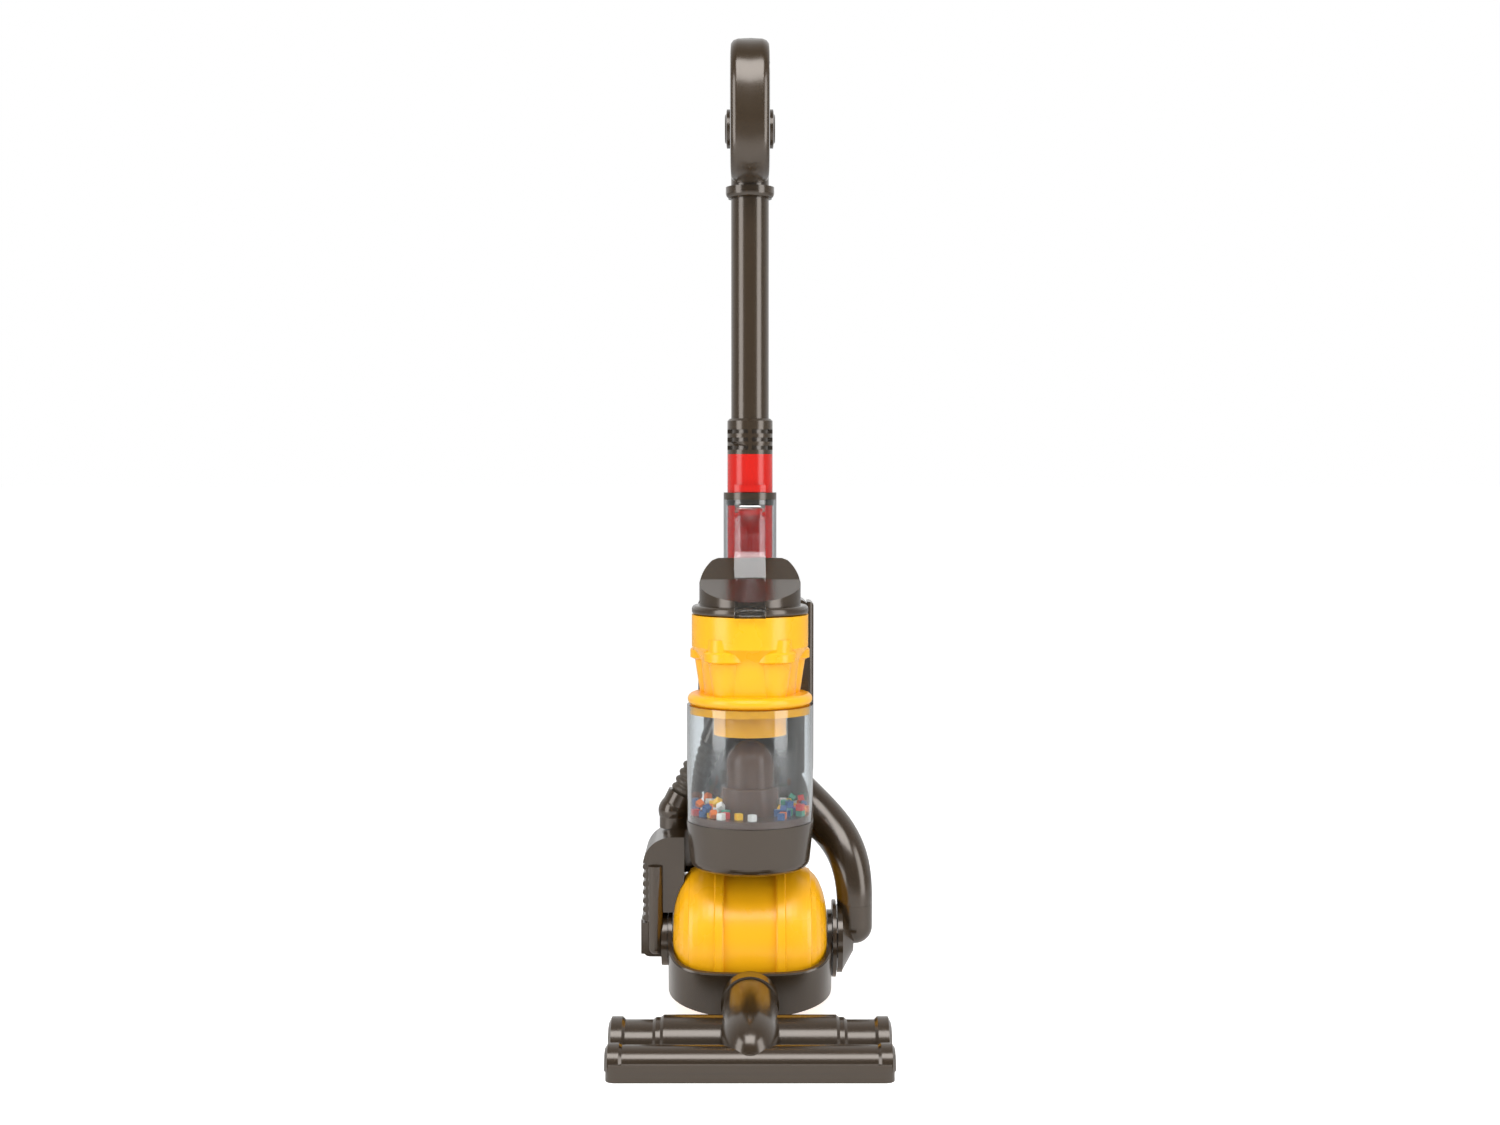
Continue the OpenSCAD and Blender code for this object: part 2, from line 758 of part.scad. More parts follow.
// Cap: a turned drum with a two-slope scoop, notched round the wand's socket
cap_lip = 4;
crease_share = 0.55;
crease_y = 6;
cap_edge = 1.5;
module cap_scoop() {
    reach = 2 * cap_r;
    profile = [
        [-reach, cap_lip - (reach - cap_r) * (cap_h * crease_share - cap_lip) / (cap_r + crease_y)],
        [crease_y, cap_h * crease_share],
        [wand_back - socket_r, cap_h],
        [reach, cap_h],
        [reach, 2 * cap_h],
        [-reach, 2 * cap_h]
    ];
    rotate([90, 0, 90]) translate([0, 0, -reach]) linear_extrude(2 * reach) polygon(profile);
}
socket_r = sleeve_r + seat_gap + socket_wall;
module cyclone_cap() {
    color(grey) difference() {
        at_bin(cap_z) difference() {
            rotate_extrude()
                polygon([[0, 0], [cap_r, 0], [cap_r, cap_h - cap_edge], [cap_r - cap_edge, cap_h],
                    [0, cap_h]]);
            cap_scoop();
        }
        at_wand(cap_z - overrun) cylinder(h = 2 * cap_h, r = socket_r + seat_gap);
    }
}

// Carry handle: a quarter-ellipse channel from the flange ring's front up to the sleeve
strap_foot_gap = 3;
strap_top = 3;
notch_r = 7.4;
strap_steps = 20;
function quarter(a, b) = [for (i = [0:strap_steps]) [-a * cos(90 * i / strap_steps),
    b * sin(90 * i / strap_steps)]];
// The channel's side outline, as deep as asked, closed along its inner curve
module strap_profile(depth) {
    a = wand_back - sleeve_r + cyclone_r + strap_foot_gap;
    b = ring_z - strap_top - flange_z;
    inner = quarter(a - depth, b - depth);
    polygon(concat(quarter(a, b), [for (i = [len(inner) - 1:-1:0]) inner[i]]));
}
module strap_slice(depth, x, w) {
    translate([x, wand_y - sleeve_r, flange_z]) rotate([90, 0, 90]) linear_extrude(w) strap_profile(depth);
}
module carry_handle() {
    color(clear) difference() {
        union() {
            strap_slice(strap_t, -strap_w / 2, strap_w);
            strap_slice(strap_flange, -strap_w / 2, strap_rib);
            strap_slice(strap_flange, strap_w / 2 - strap_rib, strap_rib);
        }
        at_bin(flange_z - overrun) cylinder(h = flange_t + 2 * overrun, r = cyclone_r + seat_gap);
        at_wand(sleeve_z) cylinder(h = sleeve_h, r = sleeve_r + seat_gap);
        translate([0, wand_y - sleeve_r - notch_r, ring_z - strap_top]) along_y()
            cylinder(h = 2 * notch_r, r = notch_r);
    }
}

// Wand: socket, sleeve and ring stay on the body; coupling, collar, tube and handle lift out
module wand_socket() {
    color(grey) at_wand(socket_z) difference() {
        cylinder(h = socket_h, r = socket_r);
        translate([0, 0, socket_floor]) cylinder(h = socket_h, r = sleeve_r + seat_gap);
    }
}
module clear_sleeve() {
    color(clear) at_wand(sleeve_z) pipe(sleeve_h, sleeve_r, sleeve_wall);
}
ring_lip = 4;
module sleeve_ring() {
    color(grey) at_wand(ring_z) difference() {
        union() {
            cylinder(h = ring_t, r = sleeve_r);
            translate([0, 0, -ring_lip]) cylinder(h = ring_lip, r = sleeve_r - sleeve_wall - seat_gap);
        }
        translate([0, 0, -ring_lip - overrun])
            cylinder(h = ring_t + ring_lip + 2 * overrun, r = coupling_r + run_gap);
    }
}
catch_w = 22;
catch_h = 5;
catch_t = 2.2;
stem_w = 9;
stem_h = 2.6;
stem_l = 6;
stem_gap = 0.5;
catch_lift = 0.6;
module red_coupling() {
    bottom = sleeve_z + body_gap;
    color(red) at_wand(bottom) difference() {
        pipe(slotted_z - bottom, coupling_r, wand_wall);
        translate([-stem_w / 2 - stem_gap, -coupling_r - overrun,
            coupling_z + catch_lift - bottom - stem_gap + (catch_h - stem_h) / 2])
            cube([stem_w + 2 * stem_gap, coupling_r, stem_h + 2 * stem_gap]);
    }
}
module wand_catch() {
    inner_r = coupling_r + catch_travel + body_gap;
    color(red) at_wand(coupling_z + catch_lift) {
        intersection() {
            pipe(catch_h, inner_r + catch_t, catch_t);
            translate([-catch_w / 2, -2 * coupling_r, 0]) cube([catch_w, 2 * coupling_r, catch_h]);
        }
        translate([-stem_w / 2, -inner_r - catch_t / 2, (catch_h - stem_h) / 2])
            cube([stem_w, stem_l, stem_h]);
    }
}
// Rings of a swept tube: centres, the way along, and a radius for each ring
function unit(v) = v / norm(v);
function tangent(path, i) = unit(path[min(i + 1, len(path) - 1)] - path[max(i - 1, 0)]);
function ring_points(centre, way, r, sides, up) =
    let (side = unit(cross(way, up)), top = cross(side, way))
        [for (k = [0:sides - 1]) centre + r * (cos(360 * k / sides) * side + sin(360 * k / sides) * top)];
function tube_points(path, radii, sides, up) = [
    for (i = [0:len(path) - 1]) each ring_points(path[i], tangent(path, i), radii[i], sides, up)
];
function wall_faces(rings, sides, base) = [
    for (i = [0:rings - 2], k = [0:sides - 1])
        let (a = base + i * sides + k, b = base + i * sides + (k + 1) % sides)
            each [[a, b, a + sides], [b, b + sides, a + sides]]
];
// A swept tube with a bore
module swept_pipe(path, radii, bores, sides, up) {
    rings = len(path);
    count = rings * sides;
    last = (rings - 1) * sides;
    inner = [for (f = wall_faces(rings, sides, count)) [f[0], f[2], f[1]]];
    polyhedron(
        points = concat(tube_points(path, radii, sides, up), tube_points(path, bores, sides, up)),
        faces = concat(
            wall_faces(rings, sides, 0),
            inner,
            [for (k = [0:sides - 1]) let (n = (k + 1) % sides) each [[k, count + k, n],
                [n, count + k, count + n]]],
            [for (k = [0:sides - 1]) let (n = (k + 1) % sides)
                each [[last + k, last + n, last + count + k], [last + n, last + count + n,
                    last + count + k]]]
        )
    );
}
slot_rows = 3;
slot_h = 2.8;
slot_pitch = 5.7;
slot_bar = 2.5;
slot_first = 3.1;
collar_chamfer = 1.6;
module slotted_collar() {
    r = coupling_r;
    color(grey) at_wand(slotted_z) difference() {
        rotate_extrude() polygon([
            [wand_r + run_gap, 0], [r, 0], [r, slotted_h - collar_chamfer],
            [r - collar_chamfer, slotted_h], [wand_r + run_gap, slotted_h]
        ]);
        for (row = [0:slot_rows - 1], x = [-1, 1], y = [-1, 1])
            translate([x * (slot_bar + r) / 2, y * (slot_bar + r) / 2,
                slot_first + slot_h / 2 + row * slot_pitch])
                cube([r, r, slot_h], center = true);
    }
}
module wand_tube() {
    bottom = slotted_z + seat_gap;
    color(grey) at_wand(bottom) pipe(handle_z + ears_h / 2 - bottom, wand_r, wand_wall);
}
ears_r = 17;
ears_h = 8;
ears_round = 4;
module handle_collar() {
    color(grey) at_wand(handle_z - ears_h / 2) difference() {
        rotate_extrude() polygon(concat(
            [[0, 0], [wand_r + ears_round / 2, 0]],
            arc_points([ears_r - ears_round, ears_round], ears_round, -60, 0, 6),
            [[ears_r, ears_h], [0, ears_h]]
        ));
        translate([0, 0, -overrun]) cylinder(h = ears_h + 2 * overrun, r = wand_r + seat_gap);
    }
}
// Handle: a closed loop with a rounded-square section, split down the middle into two shells
loop_power = 2.7;
loop_steps = 40;
grip_power = 4;
grip_steps = 8;
foot_l = 26;
plug_l = 20;
foot_z = handle_z + ears_h / 2 + seat_gap;
loop_z = foot_z + loop_h / 2;
loop_y = wand_y - (loop_d - grip_t) / 2;
loop_path = squircle((loop_d - grip_t) / 2, (loop_h - grip_t) / 2, loop_power, loop_steps);
function loop_way(i) = unit(loop_path[(i + 1) % loop_steps] - loop_path[(i + loop_steps - 1) % loop_steps]);
// One ring of the half section: out along the loop's normal, and across along X
function grip_ring(i) = let (p = loop_path[i], way = loop_way(i)) [
    for (k = [0:grip_steps])
        let (a = 180 * k / grip_steps,
            n = grip_t / 2 * signed_pow(cos(a), 2 / grip_power),
            x = grip_half_w * signed_pow(max(sin(a), 0), 2 / grip_power))
            [x, loop_y + p[0] + n * way[1], loop_z + p[1] - n * way[0]]
];
module grip_half() {
    count = grip_steps + 1;
    polyhedron(
        points = [for (i = [0:loop_steps - 1]) each grip_ring(i)],
        faces = [
            for (i = [0:loop_steps - 1], k = [0:grip_steps])
                let (j = (i + 1) % loop_steps, m = (k + 1) % count,
                    a = i * count + k, b = i * count + m, c = j * count + k, d = j * count + m)
                    each [[a, b, c], [b, d, c]]
        ]
    );
}
module half_space() { translate([0, -head_w, 0]) cube([head_w, 4 * head_w, 8 * head_w]); }
grip_screw_steps = [6, 16, 34];
grip_screw_r = 1.4;
grip_head_r = 2.8;
grip_head_h = 1.6;
grip_screw_l = 16;
grip_sink = 3;
module grip_screw_places(x) {
    for (i = grip_screw_steps)
        translate([x, loop_y + loop_path[i][0], loop_z + loop_path[i][1]]) along_x() children();
}
module handle_half() {
    grip_half();
    intersection() {
        at_wand(foot_z) {
            cylinder(h = foot_l, r = wand_r);
            translate([0, 0, -plug_l]) cylinder(h = plug_l + overrun, r = wand_r - wand_wall - seat_gap);
        }
        half_space();
    }
}
module handle_right() {
    color(grey) difference() {
        handle_half();
        grip_screw_places(-overrun) cylinder(h = grip_half_w, r = grip_screw_r + seat_gap);
        grip_screw_places(grip_half_w - grip_sink)
            cylinder(h = grip_sink + overrun, r = grip_head_r + seat_gap);
    }
}
module handle_left() {
    depth = grip_screw_l + grip_sink - grip_half_w + body_gap;
    color(grey) difference() {
        mirror([1, 0, 0]) handle_half();
        grip_screw_places(-depth) cylinder(h = depth + overrun, r = grip_screw_r + seat_gap);
    }
}
module handle_screws() {
    color(steel) grip_screw_places(grip_half_w - grip_sink)
        screw(grip_head_r, grip_head_h, grip_screw_r, grip_screw_l);
}
disc_z_share = 0.42;
disc_rim = 1.4;
disc_groove = 1;
module handle_discs() {
    t = disc_w / 2 - grip_half_w;
    z = foot_z + loop_h * disc_z_share;
    color(grey) for (side = [0, 1])
        at_wand(z) mirror([side, 0, 0]) translate([grip_half_w, 0, 0]) along_x() rotate_extrude() polygon([
            [0, 0], [disc_r, 0], [disc_r, t - disc_rim], [disc_r - disc_rim, t - disc_groove],
            [disc_r - 2 * disc_rim, t - disc_groove], [disc_r - 3 * disc_rim, t], [0, t]
        ]);
}

// Spine: a hollow housing in two shells behind the bin
spine_z = base_z + seat_gap;
spine_top_z = socket_z;
spine_top_r = 6;
module spine_plan(inset) {
    r = spine_corner_r - inset;
    left = -spine_left + inset;
    right = spine_right - inset;
    front = spine_front_y + inset;
    back = spine_back_y - inset;
    translate([left, front]) square([right - left, back - front - r]);
    translate([left + r, front]) square([right - left - 2 * r, back - front]);
    for (x = [left + r, right - r]) translate([x, back - r]) circle(r = r);
}
module spine_solid(inset) {
    w = spine_left + spine_right - 2 * inset;
    h = spine_top_z - spine_z - 2 * inset;
    intersection() {
        translate([0, 0, spine_z + inset]) linear_extrude(h) spine_plan(inset);
        translate([spine_mid_x, spine_back_y + overrun, (spine_z + spine_top_z) / 2]) rotate([90, 0, 0])
            linear_extrude(spine_d + 2 * overrun) round_rect(w, h, spine_top_r - inset);
    }
}
module ahead_of(y) { translate([-head_w, y - 2 * head_w, 0]) cube([2 * head_w, 2 * head_w, 4 * head_w]); }
module spine_ports() {
    translate([spine_right - 2 * spine_wall, duct_y, duct_z]) along_x()
        cylinder(h = 4 * spine_wall, r = port_r);
}
module case_screw_places() {
    for (x = [case_screw_in - spine_left, spine_right - case_screw_in], z = [spine_z + case_screw_in,
        spine_top_z - case_screw_in])
        translate([x, spine_back_y, z]) rotate([90, 0, 0]) children();
}
case_screw_in = 8;
case_screw_l = 22;
case_boss_r = 4.4;
module spine_front() {
    color(grey) difference() {
        union() {
            difference() {
                spine_solid(0);
                spine_solid(spine_wall);
            }
            intersection() {
                spine_solid(0);
                case_screw_places() cylinder(h = spine_d, r = case_boss_r);
            }
        }
        ahead_of(spine_split_y + 2 * head_w);
        case_screw_places() cylinder(h = grip_sink + case_screw_l, r = grip_screw_r + seat_gap);
        spine_ports();
    }
}
cell_r = 7.1;
cell_l = 50;
cell_gap = 0.3;
contact_t = 0.8;
tray_wall = 1.6;
door_rise = 52;
door_z = spine_z + door_rise;
tray_w = 4 * cell_r + 3 * cell_gap;
tray_h = 2 * cell_l + 2 * contact_t + 3 * cell_gap;
cell_y = spine_back_y - spine_wall - cell_gap - cell_r;
tray_y = cell_y - cell_r - cell_gap;
door_block_w = 12;
door_screw_l = 9;
door_gap = 0.3;
door_tail = 9;
switch_w = 8;
switch_h = 6;
switch_rise = 2;
switch_drop = 10;
switch_z = spine_top_z - switch_drop;
switch_flange = 1.5;
module rear_plate(x, z, w, h, y, t) { translate([x - w / 2, y, z]) cube([w, t, h]); }
module spine_back() {
    color(grey) difference() {
        union() {
            difference() {
                spine_solid(0);
                spine_solid(spine_wall);
            }
            intersection() {
                spine_solid(0);
                case_screw_places() cylinder(h = spine_d, r = case_boss_r);
            }
            rear_plate(spine_mid_x, door_z - tray_wall, tray_w + 2 * tray_wall, tray_h + 2 * tray_wall,
                tray_y - tray_wall, spine_back_y - spine_wall / 2 - tray_y + tray_wall);
            rear_plate(spine_mid_x, door_z - door_tail, door_block_w, door_tail,
                tray_y, spine_back_y - spine_wall / 2 - tray_y);
        }
        ahead_of(spine_split_y);
        case_screw_places() cylinder(h = case_screw_l, r = grip_screw_r + seat_gap);
        case_screw_places() translate([0, 0, -overrun])
            cylinder(h = grip_sink + overrun, r = grip_head_r + seat_gap);
        rear_plate(spine_mid_x, door_z, tray_w, tray_h, tray_y, spine_d);
        rear_plate(spine_mid_x, door_z - door_tail, tray_w, tray_h + door_tail,
            spine_back_y - spine_wall - seat_gap, spine_d);
        door_screw_place() cylinder(h = 2 * door_screw_l, r = grip_screw_r + seat_gap, center = true);
        rear_plate(spine_mid_x, switch_z - switch_h / 2 - body_gap, switch_w + switch_travel + 2 * body_gap,
            switch_h + 2 * body_gap, spine_back_y - 2 * spine_wall, spine_d);
        spine_ports();
    }
}
door_ridges = 4;
door_ridge_pitch = 4;
door_ridge = 0.8;
module battery_door() {
    w = tray_w - 2 * door_gap;
    h = tray_h + door_tail - 2 * door_gap;
    z = door_z - door_tail + door_gap;
    color(grey) difference() {
        union() {
            rear_plate(spine_mid_x, z, w, h, spine_back_y - spine_wall, spine_wall);
            for (i = [0:door_ridges - 1])
                rear_plate(spine_mid_x, z + h - door_tail - i * door_ridge_pitch, w / 2, door_ridge,
                    spine_back_y - door_ridge, 2 * door_ridge);
        }
        door_screw_place() cylinder(h = door_screw_l, r = grip_screw_r + seat_gap, center = true);
    }
}
module door_screw_place() {
    translate([spine_mid_x, spine_back_y, door_z - door_tail / 2]) rotate([-90, 0, 0]) children();
}
module door_screw() {
    color(steel) door_screw_place() screw(grip_head_r, grip_head_h, grip_screw_r, door_screw_l - overrun);
}
module batteries() {
    color(dark) for (x = [-1, 1], row = [0, 1])
        translate([spine_mid_x + x * (cell_r + cell_gap / 2), cell_y,
            door_z + contact_t + cell_gap + row * (cell_l + cell_gap)])
            cylinder(h = cell_l, r = cell_r);
}
module battery_contacts() {
    t = contact_t;
    color(steel) {
        rear_plate(spine_mid_x, door_z + tray_h - t, tray_w - 2 * cell_gap, t, cell_y - cell_r / 2, cell_r);
        for (x = [-1, 1])
            rear_plate(spine_mid_x + x * (cell_r + cell_gap / 2), door_z, 2 * cell_r - cell_gap, t,
                cell_y - cell_r / 2, cell_r);
    }
}
module case_screws() {
    color(steel) case_screw_places() translate([0, 0, grip_sink]) rotate([180, 0, 0])
        screw(grip_head_r, grip_head_h, grip_screw_r, case_screw_l - grip_sink);
}
// The switch rests at the left end of its slot and slides to the right
module power_switch() {
    x = spine_mid_x - switch_travel / 2;
    color(red) {
        rear_plate(x, switch_z - switch_h / 2, switch_w, switch_h, spine_back_y - spine_wall - body_gap,
            spine_wall + body_gap + switch_rise);
        rear_plate(x, switch_z - switch_h / 2 - switch_flange, switch_w + 2 * switch_flange,
            switch_h + 2 * switch_flange,
            spine_back_y - 2 * spine_wall - body_gap, spine_wall);
    }
}
// Left side: filter housing on the axle, with its grille, cuff and ribbed hose
arm_front = 14;
arm_corner_r = 20;
arm_round = 5;
shoulder_in = 46;
shoulder_h = 26;
arm_hub_r = 19;
web_gap = 1.2;
bar_r = 5.2;
bar_set_in = 5;
bar_low = 2;
bar_high = 20;
grille_t = 1;
grille_in = 3;
grille_side = 2;
grille_h = 42;
grille_up = 24;
grille_z = axle_z - arm_drop + grille_up;
grille_rows = 7;
grille_rib_r = 2.1;
grille_slot_share = 0.4;
foot_out = 1.6;
foot_side = 8;
filter_d = 9;
filter_edge = 5;
arm_y = axle_y - arm_front;
arm_in = arm_out - arm_t;
arm_top_z = axle_z + arm_top;
arm_low_z = axle_z - arm_drop;
web_z = axle_z + ear_r + web_gap;
grille_w = arm_d - 2 * grille_side;
module arm_front_outline() {
    polygon(concat(
        [[-arm_in, arm_low_z]],
        arc_points([-arm_out + arm_round, arm_low_z + arm_round], arm_round, 270, 180, 6),
        arc_points([-arm_out + arm_corner_r, arm_top_z - arm_corner_r], arm_corner_r, 180, 90, 10),
        [[-shoulder_in, arm_top_z], [-shoulder_in, web_z], [-arm_in, web_z]]
    ));
}
module round_bar(h, r, end_round) {
    rotate_extrude() polygon(concat(
        [[0, 0]],
        arc_points([r - end_round, end_round], end_round, -90, 0, 6),
        [[r, h], [0, h]]
    ));
}
module filter_housing() {
    bridge_y = spine_front_y + seat_gap;
    mid_y = arm_y + arm_d / 2;
    color(grey) difference() {
        union() {
            difference() {
                union() {
                    translate([0, arm_y + arm_d, 0]) rotate([90, 0, 0])
                        linear_extrude(arm_d) arm_front_outline();
                    translate([-shoulder_in - overrun, bridge_y, arm_top_z - shoulder_h])
                        cube([shoulder_in + overrun - spine_left - seat_gap, arm_y + arm_d - bridge_y,
                            shoulder_h]);
                }
                at_axle() mirror([1, 0, 0]) along_x() rotate_extrude() polygon(concat(
                    [[0, band_half_w]], ball_profile(-web_gap), [[0, ball_half_w + web_gap]]
                ));
            }
            translate([-arm_in - overrun, axle_y, axle_z]) along_x()
                cylinder(h = arm_in + overrun - hub_x, r = arm_hub_r);
            translate([-arm_in - bar_set_in, arm_y, arm_low_z + bar_low])
                round_bar(arm_top + arm_drop - bar_low - bar_high, bar_r, bar_r - overrun);
            translate([-arm_out - foot_out, arm_y + foot_side, arm_low_z])
                cube([foot_out + arm_round, arm_d - 2 * foot_side, grille_z - arm_low_z]);
        }
        translate([-arm_out - overrun, arm_y - overrun, grille_z])
            cube([grille_in + overrun, arm_d + 2 * overrun, grille_h]);
        translate([-arm_out - overrun, mid_y - grille_w / 2 + filter_edge, grille_z + filter_edge])
            cube([filter_d + overrun, grille_w - 2 * filter_edge, grille_h - 2 * filter_edge]);
        translate([-hub_x - axle_end - body_gap, axle_y, axle_z]) along_x()
            cylinder(h = 2 * axle_end, r = axle_r + run_gap);
    }
}
// The grille is a plate with half-round ribs, and a pair of slots below each rib but the lowest
module exhaust_grille() {
    pitch = grille_h / grille_rows;
    slot_l = grille_w * grille_slot_share;
    color(grey) translate([-arm_out + grille_in - seat_gap, arm_y + arm_d / 2, grille_z]) difference() {
        union() {
            translate([-grille_t, -grille_w / 2, seat_gap])
                cube([grille_t, grille_w, grille_h - 2 * seat_gap]);
            intersection() {
                for (row = [0:grille_rows - 1])
                    translate([-grille_t, -grille_w / 2, (row + 0.5) * pitch]) along_y()
                        cylinder(h = grille_w, r = grille_rib_r);
                translate([-grille_h, -grille_w, 0]) cube([grille_h, 2 * grille_w, grille_h]);
            }
        }
        for (row = [1:grille_rows - 1], y = [-1, 1])
            translate([-grille_t / 2, y * grille_w / 4, row * pitch])
                cube([2 * grille_t, slot_l, pitch - 2 * grille_rib_r - 2 * seat_gap], center = true);
    }
}
cuff_r = 11;
cuff_l = 12;
cuff_wall = 2;
cuff_swell = 0.8;
hose_x = 54;
hose_y = 154;
hose_lean = 27;
hose_l = 41;
inlet_l = 24;
hose_wall = 1.4;
hose_sides = 12;
hose_z = arm_top_z + seat_gap + cuff_l;
hose_way = [sin(hose_lean), 0, cos(hose_lean)];
bend_l = 13;
hose_start = [-hose_x, hose_y, hose_z] + bend_l * hose_way;
hose_end = hose_start + hose_l * hose_way;
// The cuff stands on the housing, and a knuckle turns it over to the hose's slope
module hose_cuff() {
    bore_r = hose_r - hose_rib - hose_wall;
    color(grey) translate([-hose_x, hose_y, arm_top_z + seat_gap]) difference() {
        union() {
            cylinder(h = cuff_l, r = cuff_r);
            translate([0, 0, cuff_l]) sphere(r = cuff_r + cuff_swell);
            translate([0, 0, cuff_l]) rotate([0, hose_lean, 0]) cylinder(h = bend_l, r = cuff_r);
        }
        translate([0, 0, cuff_l]) rotate([0, hose_lean, 0]) cylinder(h = 2 * cuff_r, r = bore_r);
        translate([0, 0, cuff_wall]) cylinder(h = cuff_l, r = bore_r - cuff_swell);
    }
}
module ribbed_hose() {
    per_rib = 4;
    rings = hose_ribs * per_rib;
    path = [for (i = [0:rings]) hose_start + (seat_gap + (hose_l - 2 * seat_gap) * i / rings) * hose_way];
    radii = [for (i = [0:rings]) hose_r - (i % per_rib < 2 ? hose_rib : 0)];
    bores = [for (i = [0:rings]) hose_r - hose_rib - hose_wall];
    color(grey) swept_pipe(path, radii, bores, hose_sides, [0, 1, 0]);
}
module hose_inlet() {
    color(grey) difference() {
        translate(hose_end) rotate([0, hose_lean, 0])
            pipe(inlet_l, cuff_r, cuff_r - hose_r + hose_rib + hose_wall);
        translate([-spine_left - seat_gap, 0, 0]) cube([2 * head_w, 4 * head_w, 4 * head_w]);
    }
}

// Right side: a swept duct from the spine to an end cap on the axle's hub
duct_set = 0.8;
duct_y = spine_split_y + duct_set;
duct_up = 33.5;
duct_z = spine_z + duct_up;
duct_x = 73.8;
duct_rise = 24.5;
duct_low_z = axle_z + duct_rise;
duct_wall = 2;
duct_steps = 20;
duct_sides = 24;
duct_back = 13;
duct_climb = 12;
duct_lead = 17;
duct_dip = 16;
duct_shoulder = 20;
port_r = 11;
duct_ends = [
    [spine_right - duct_back, duct_y, duct_z + duct_climb],
    [spine_right + duct_lead, duct_y, duct_z - duct_dip],
    [duct_x, axle_y, duct_z - duct_shoulder],
    [duct_x, axle_y, duct_low_z - overrun]
];
function bezier(p, t) = let (u = 1 - t)
    u * u * u * p[0] + 3 * u * u * t * p[1] + 3 * u * t * t * p[2] + t * t * t * p[3];
module side_duct() {
    path = [for (i = [0:duct_steps]) bezier(duct_ends, i / duct_steps)];
    radii = [for (i = [0:duct_steps]) duct_r + (duct_end_r - duct_r) * i / duct_steps];
    color(grey) difference() {
        swept_pipe(path, radii, [for (r = radii) r - duct_wall], duct_sides, [0, 1, 0]);
        spine_solid(-seat_gap);
        below(duct_low_z);
    }
}
cap_l = 15.5;
hub_plate_r = 27;
hub_plate_t = 2.6;
hub_disc_r = 23.8;
hub_disc_t = 3.4;
hub_neck_r = 14;
hub_neck_l = 1;
hub_tip_r = 9;
hub_cone_l = 8;
hub_slope_share = 0.96;
// A plate by the yoke's ear, a groove, a disc, and a cone to the tip, all grown by the gap
module hub_shape(gap) {
    a = hub_plate_t;
    b = a + hub_neck_l;
    c = b + hub_disc_t;
    d = c + hub_cone_l;
    translate([hub_x, axle_y, axle_z]) along_x() rotate_extrude() polygon([
        [0, -gap], [hub_plate_r + gap, -gap], [hub_plate_r + gap, a + gap], [hub_neck_r + gap, a + gap],
        [hub_neck_r + gap, b - gap], [hub_disc_r + gap, b - gap], [hub_disc_r + gap, c + gap],
        [hub_disc_r * hub_slope_share + gap, c + gap], [hub_tip_r + gap, d + gap], [0, d + gap]
    ]);
}
module right_hub() {
    color(grey) difference() {
        hub_shape(0);
        translate([hub_x - overrun, axle_y, axle_z]) along_x()
            cylinder(h = overrun + axle_end + body_gap, r = axle_r + run_gap);
    }
}
module duct_cap() {
    r = duct_end_r + seat_gap;
    color(grey) difference() {
        translate([duct_x, axle_y, duct_low_z - seat_gap]) {
            translate([0, 0, -cap_l]) cylinder(h = cap_l, r = r);
            translate([0, 0, -cap_l]) sphere(r = r);
        }
        hub_shape(seat_gap);
    }
}

head_cover();
head_sole();
head_screws();
elbow();
yoke();
neck_collar();
axle();
ball_left();
ball_right();
ball_band();
bin_base();
bin_floor();
dome_skirt();
inner_dome();
clear_bin();
beads_yellow();
beads_red();
beads_white();
beads_blue();
beads_green();
beads_orange();
motor();
impeller();
bin_lid();
cyclone();
flange_ring();
cyclone_cap();
carry_handle();
spine_front();
spine_back();
battery_door();
batteries();
battery_contacts();
door_screw();
case_screws();
power_switch();
wand_socket();
clear_sleeve();
sleeve_ring();
red_coupling();
wand_catch();
slotted_collar();
wand_tube();
handle_collar();
handle_left();
handle_right();
handle_discs();
handle_screws();
filter_housing();
exhaust_grille();
hose_cuff();
ribbed_hose();
hose_inlet();
side_duct();
duct_cap();
right_hub();
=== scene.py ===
import json
import math

import bmesh
import bpy
from mathutils import Euler, Matrix, Quaternion, Vector


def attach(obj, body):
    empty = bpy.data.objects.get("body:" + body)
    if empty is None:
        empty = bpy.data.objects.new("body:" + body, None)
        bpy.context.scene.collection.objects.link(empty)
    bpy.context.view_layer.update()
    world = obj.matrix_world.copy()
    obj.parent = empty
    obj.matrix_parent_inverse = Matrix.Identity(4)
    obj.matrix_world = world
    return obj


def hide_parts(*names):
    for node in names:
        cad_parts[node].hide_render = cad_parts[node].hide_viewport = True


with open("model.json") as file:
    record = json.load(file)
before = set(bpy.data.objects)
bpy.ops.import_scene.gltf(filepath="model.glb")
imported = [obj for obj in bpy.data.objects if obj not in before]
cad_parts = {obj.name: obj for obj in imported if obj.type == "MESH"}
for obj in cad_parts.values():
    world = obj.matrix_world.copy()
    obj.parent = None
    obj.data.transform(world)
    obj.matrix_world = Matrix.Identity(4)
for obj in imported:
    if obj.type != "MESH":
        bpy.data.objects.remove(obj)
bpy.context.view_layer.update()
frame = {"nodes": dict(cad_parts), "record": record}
scene = bpy.context.scene
nodes = frame["nodes"]

WHITE = (1, 1, 1, 1)

# Materials: each one is built from noise, so that no surface is one flat colour
FINE_DETAIL = 3
BROAD_SCALE = 22
BROAD_DETAIL = 4
BUMP_DEPTH = 0.0002


